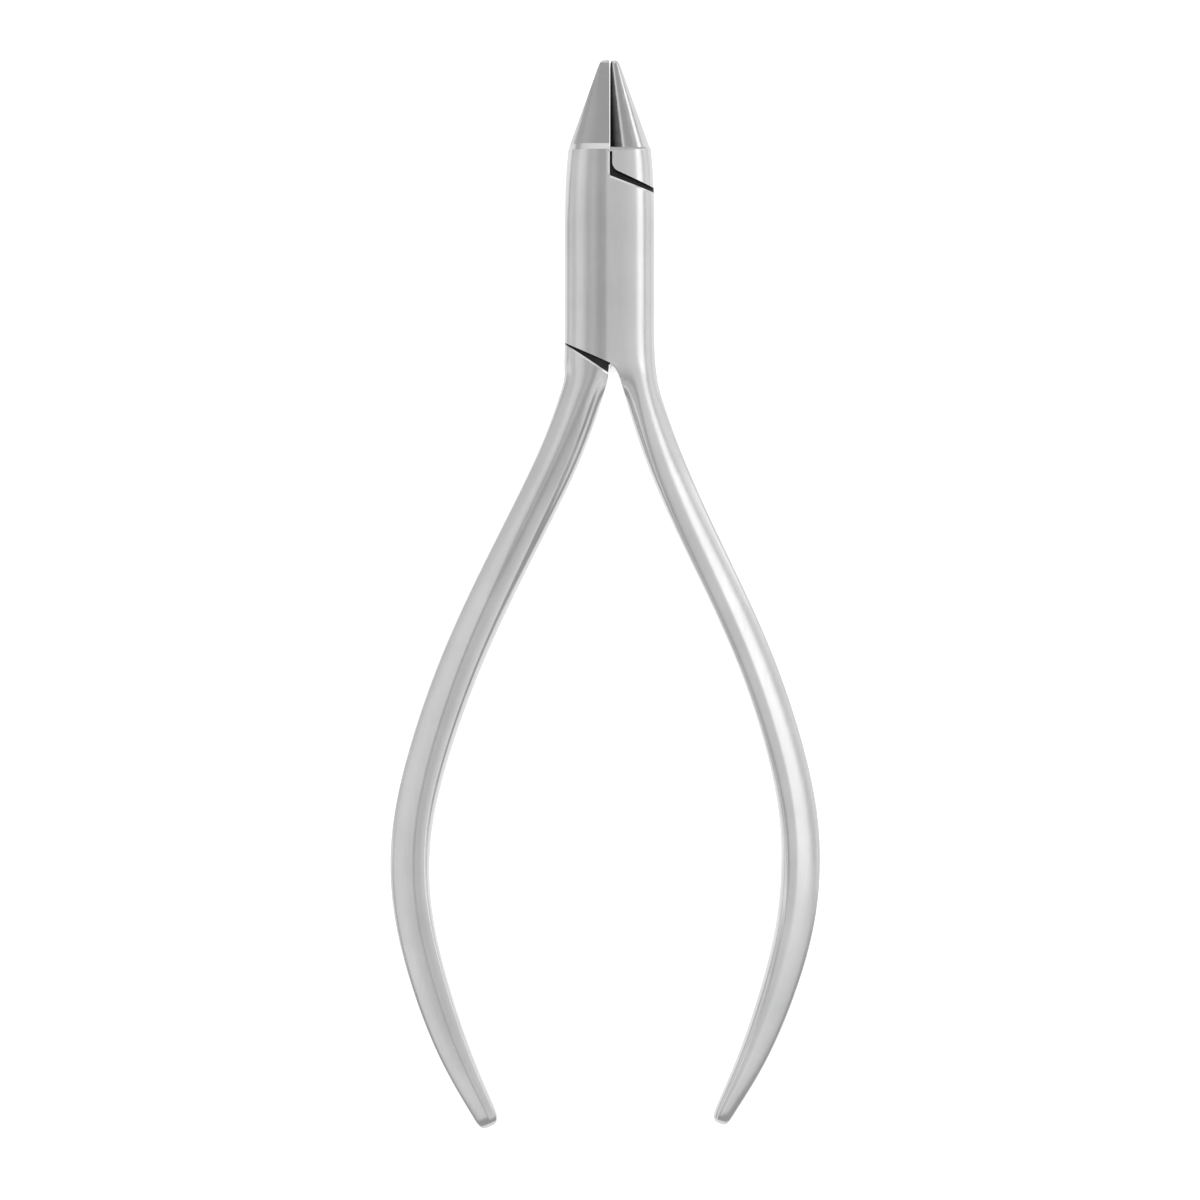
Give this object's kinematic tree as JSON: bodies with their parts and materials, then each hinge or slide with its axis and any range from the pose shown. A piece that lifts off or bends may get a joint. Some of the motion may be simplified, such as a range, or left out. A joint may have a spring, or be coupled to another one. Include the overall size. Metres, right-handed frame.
{
  "type": "orthodontic wire-bending pliers",
  "caption": "Small lap-joint wire-bending pliers with one pyramid beak and one cone beak, bowed bare handles and a flush pivot screw at the back.",
  "frame": {"origin": "where the pivot axis meets the joint's flat back, at the middle of the flush screw head", "axes": "+Y from the handles to the beaks, +X across to the side of the cone beak, +Z along the pivot out of the plain front"},
  "size_m": [0.0523, 0.1302, 0.0086],
  "materials": {
    "satin_steel": "satin-ground stainless steel, fine grain along the handles and joint",
    "turned_steel": "turned stainless steel, ground flush at the head"
  },
  "bodies": {
    "front": {"front_half": "satin_steel", "pivot_screw": "turned_steel"},
    "rear": {"rear_half": "satin_steel"}
  },
  "joints": [
    {"name": "pivot", "type": "hinge", "parent": "front", "child": "rear", "pos_m": [0, 0, 0.0043], "axis": [0, 0, -1], "range_deg": [0, 30]}
  ]
}
